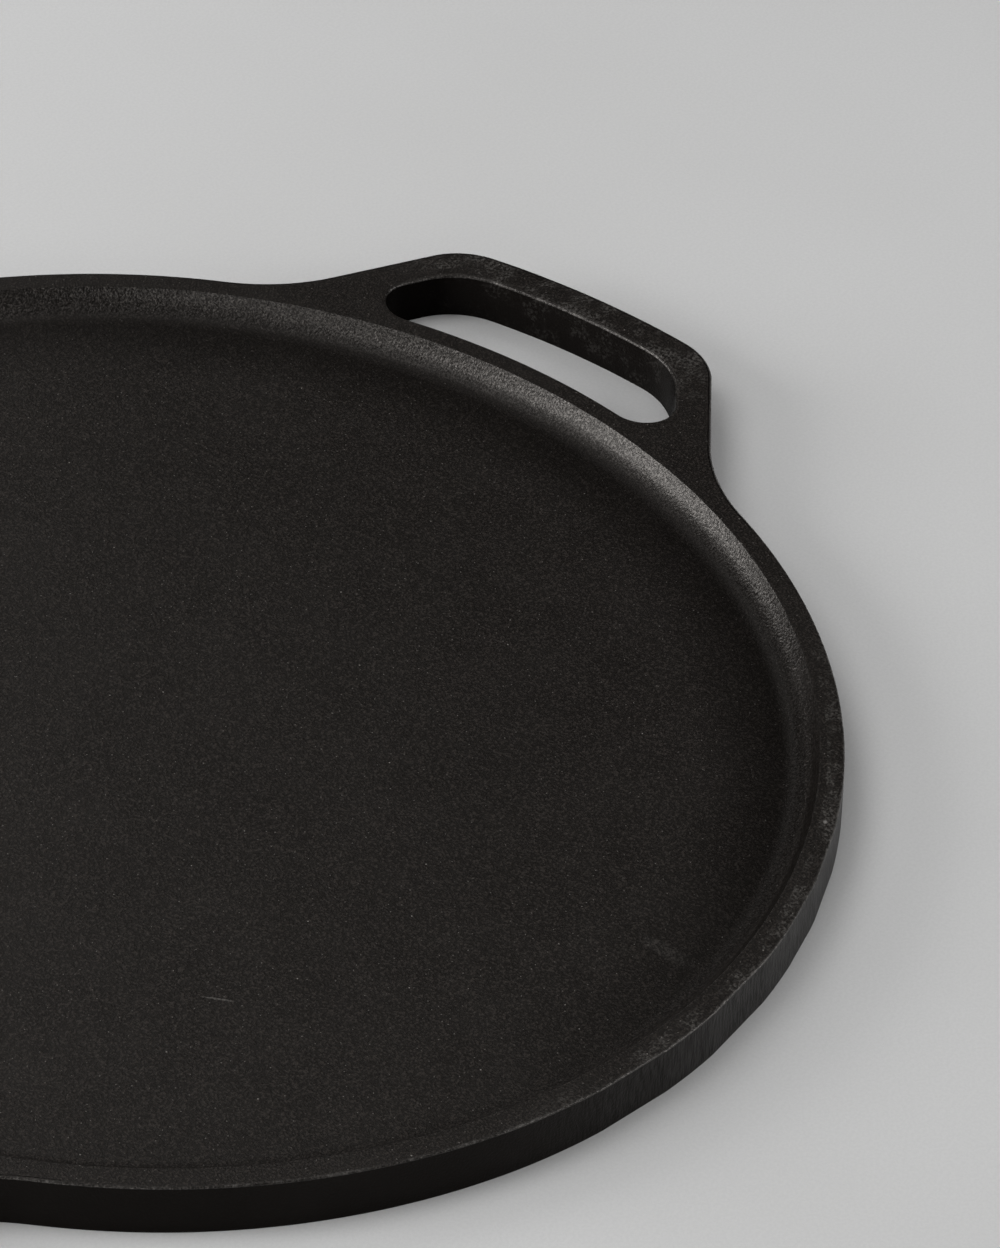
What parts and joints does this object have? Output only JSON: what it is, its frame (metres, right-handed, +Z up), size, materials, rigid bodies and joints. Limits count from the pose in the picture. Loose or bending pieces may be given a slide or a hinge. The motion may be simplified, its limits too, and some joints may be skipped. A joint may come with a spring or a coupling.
{
  "type": "griddle pan",
  "caption": "Flat round cast iron griddle pan with a low coved rim and opposite loop handles flush with the rim.",
  "frame": {"origin": "middle of the flat base, on the surface that the pan stands on", "axes": "+Z up out of the cooking face, +X from the middle of the pan towards handle_right"},
  "size_m": [0.3408, 0.2816, 0.0105],
  "materials": {
    "cooking_surface": "seasoned sand-cast iron, satin black with a fine grain",
    "rim_iron": "seasoned sand-cast iron with ground edges worn slightly brighter"
  },
  "bodies": {
    "root": {"cooking_plate": "cooking_surface", "cove_ring": "cooking_surface", "rim_front": "rim_iron", "rim_back": "rim_iron", "handle_right": "rim_iron", "handle_left": "rim_iron"}
  },
  "joints": []
}
